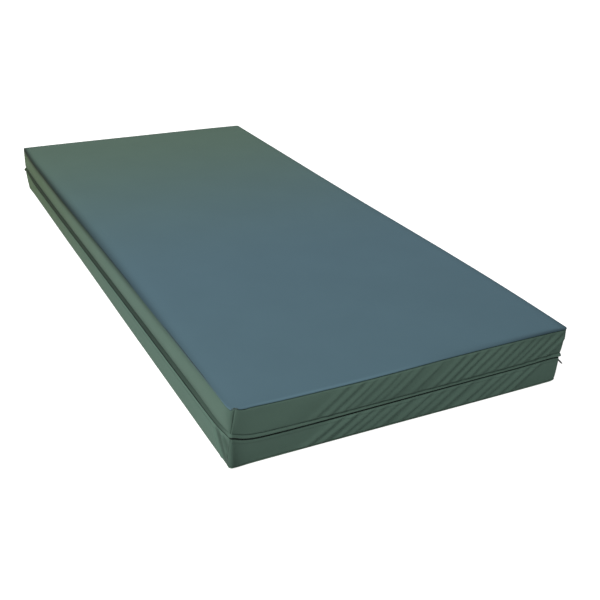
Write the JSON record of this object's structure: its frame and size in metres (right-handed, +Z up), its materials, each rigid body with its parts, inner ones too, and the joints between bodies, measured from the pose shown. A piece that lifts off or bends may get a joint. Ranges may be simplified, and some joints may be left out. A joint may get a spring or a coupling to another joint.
{
  "type": "pressure relief mattress",
  "caption": "Static foam pressure relief mattress: castellated foam in a firm foam base with side rails, inside a wipe-clean zip-off cover with a flap over the zip.",
  "frame": {"origin": "middle of the flat underside, on the bed deck", "axes": "+Z up through the thickness, +Y along the length away from the short end beside the parked zip slider, +X across the width towards the long side that the slider is parked on"},
  "size_m": [0.9101, 1.982, 0.15],
  "materials": {
    "top_cloth": "slate blue polyurethane-coated stretch knit, matt",
    "border_cloth": "grey-green polyurethane-coated knit, matt",
    "base_cloth": "grey-green coated cloth, matt",
    "zip_tape": "woven polyester tape, dark",
    "zip_teeth": "nylon coil, dark",
    "zip_metal": "die-cast zinc, dark enamel",
    "pull_plastic": "moulded nylon, dark",
    "base_foam": "firm open-cell foam, pale blue-grey",
    "rail_foam": "firm open-cell foam, blue-grey",
    "insert_foam": "soft castellated open-cell foam, cream"
  },
  "bodies": {
    "cover_base": {"base_panel": "base_cloth", "lower_border_front": "border_cloth", "lower_border_back": "border_cloth", "lower_border_left": "border_cloth", "lower_border_right": "border_cloth", "base_seam_allowance": "border_cloth", "lower_corner_seams": "border_cloth", "lower_hem": "border_cloth", "lower_zip_tape": "zip_tape", "lower_zip_teeth": "zip_teeth", "lower_zip_stop": "zip_metal", "zip_retainer_box": "zip_teeth"},
    "foam_core": {"foam_base": "base_foam", "foam_rail_left": "rail_foam", "foam_rail_right": "rail_foam", "foam_insert": "insert_foam"},
    "cover_top": {"cover_top_panel": "top_cloth", "upper_border_front": "border_cloth", "upper_border_back": "border_cloth", "upper_border_left": "border_cloth", "upper_border_right": "border_cloth", "top_seam_allowance": "border_cloth", "upper_corner_seams": "border_cloth", "zip_flap": "border_cloth", "upper_hem": "border_cloth", "upper_zip_tape": "zip_tape", "upper_zip_teeth": "zip_teeth", "upper_zip_stop": "zip_metal", "zip_insertion_pin": "zip_teeth"},
    "slider": {"zip_slider": "zip_metal"},
    "pull": {"pull_link": "zip_metal", "pull_tab": "pull_plastic"}
  },
  "joints": [
    {"name": "core_lift", "type": "slide", "parent": "cover_base", "child": "foam_core", "axis": [0, 0, 1], "range_m": [0, 0.12]},
    {"name": "cover_lift", "type": "slide", "parent": "foam_core", "child": "cover_top", "axis": [0, 0, 1], "range_m": [0, 0.2]},
    {"name": "slider_run", "type": "slide", "parent": "cover_base", "child": "slider", "axis": [0, 1, 0], "range_m": [0, 1.936]},
    {"name": "pull_swing", "type": "hinge", "parent": "slider", "child": "pull", "pos_m": [0.4399, -0.971, 0.064], "axis": [0, -1, 0], "range_deg": [-15, 100]}
  ]
}
